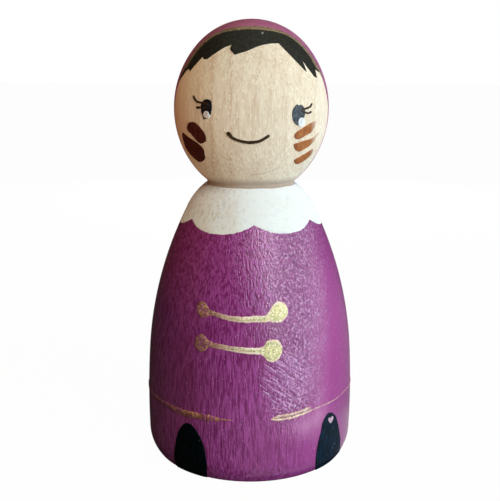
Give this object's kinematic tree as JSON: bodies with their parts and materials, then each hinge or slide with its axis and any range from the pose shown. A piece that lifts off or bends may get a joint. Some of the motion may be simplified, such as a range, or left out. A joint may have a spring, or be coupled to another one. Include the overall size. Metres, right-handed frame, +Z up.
{
  "type": "peg doll",
  "caption": "Turned wooden peg doll with a round head, a narrow neck and a body that swells to a flat base, with a painted face, hair, hood, scalloped collar, coat, braids, hem and boots.",
  "frame": {"origin": "centre of the flat base that the doll stands on", "axes": "+Z up along the axis of the turning, -Y the way the face looks, +X to the right of someone who looks at the face"},
  "size_m": [0.0436, 0.0435, 0.09],
  "materials": {
    "beech": "sanded, with a thin satin varnish",
    "plum_paint": "satin acrylic with raised grain and a faint sparkle",
    "hood_paint": "satin acrylic",
    "white_paint": "matte acrylic with the grain showing through",
    "hair_paint": "matte acrylic",
    "gold_paint": "metallic gold acrylic, laid thin",
    "old_gold_paint": "metallic acrylic, thin and dull",
    "rose_gold_paint": "metallic acrylic, dry brushed",
    "black_paint": "acrylic with a soft gloss",
    "boot_paint": "acrylic with a soft gloss",
    "brown_ink": "matte line",
    "maroon_paint": "thin acrylic with the grain showing through",
    "copper_paint": "thin acrylic with the grain showing through",
    "pink_paint": "matte dab"
  },
  "bodies": {
    "root": {"turned_blank": "beech", "coat": "plum_paint", "collar": "white_paint", "hood": "hood_paint", "hood_trim": "old_gold_paint", "hair": "hair_paint", "eye_left": "black_paint", "eye_right": "black_paint", "glint_left": "white_paint", "glint_right": "white_paint", "lashes_left": "brown_ink", "lashes_right": "brown_ink", "smile": "brown_ink", "cheek_strokes_left": "maroon_paint", "cheek_strokes_right": "copper_paint", "braid_upper": "gold_paint", "braid_lower": "gold_paint", "hem_left": "gold_paint", "hem_right": "rose_gold_paint", "boot_left": "boot_paint", "boot_right": "boot_paint", "boot_fleck": "pink_paint"}
  },
  "joints": []
}
